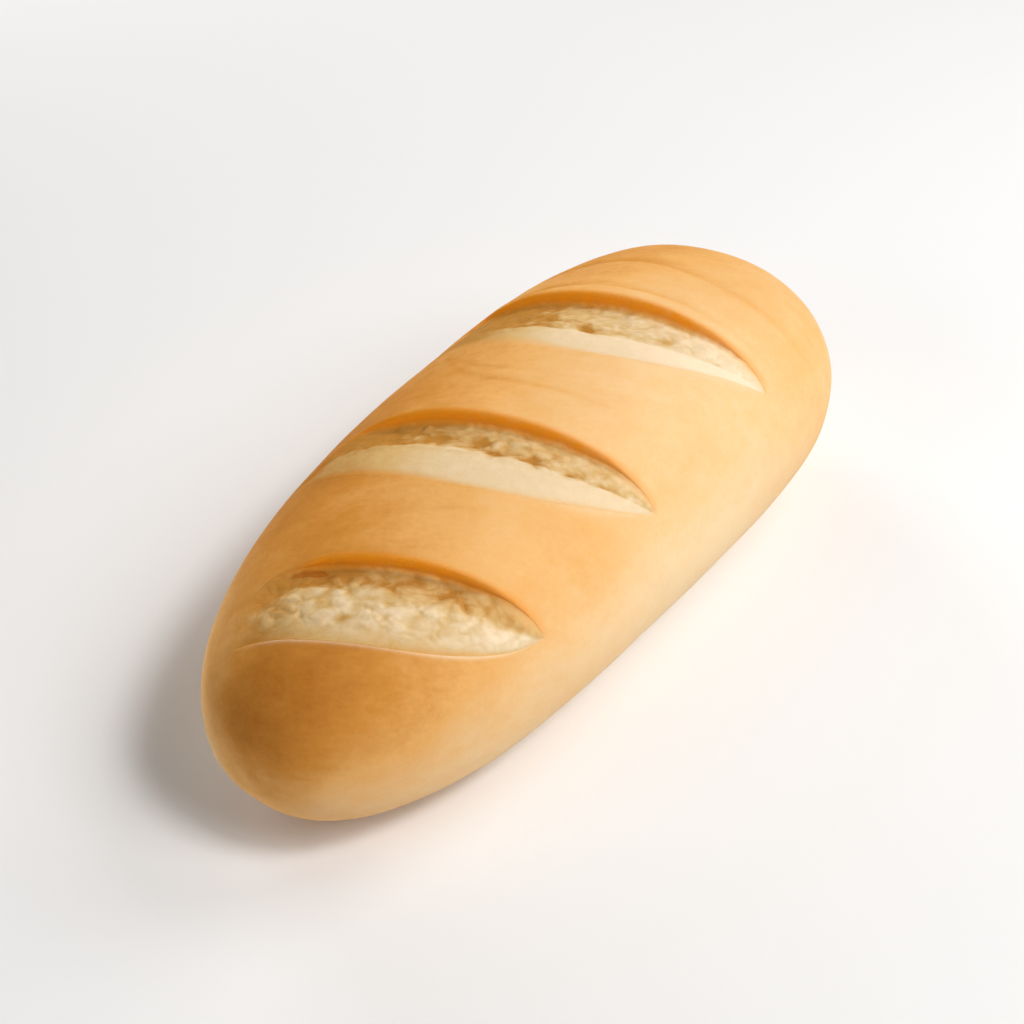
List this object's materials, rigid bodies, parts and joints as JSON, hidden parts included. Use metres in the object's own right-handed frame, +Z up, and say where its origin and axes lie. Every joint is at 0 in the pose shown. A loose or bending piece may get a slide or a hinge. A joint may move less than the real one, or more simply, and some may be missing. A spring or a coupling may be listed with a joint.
{
  "type": "long white loaf",
  "caption": "Long round-ended white loaf with a golden crust, slanted slashes opened over pale torn crumb, and a flat base.",
  "frame": {"origin": "middle of the loaf's bounding rectangle, on the plane of its flat base", "axes": "+X along the loaf towards its blunter far end, +Z up through the crown, -Y towards the flank that the slashes run down"},
  "size_m": [0.3, 0.1322, 0.0908],
  "materials": {
    "crust": "golden baked crust, satin and faintly mottled, paler on the flanks",
    "crumb": "pale cream torn crumb that shows in the slashes, matt and porous"
  },
  "bodies": {
    "root": {"loaf": "crust"}
  },
  "joints": []
}
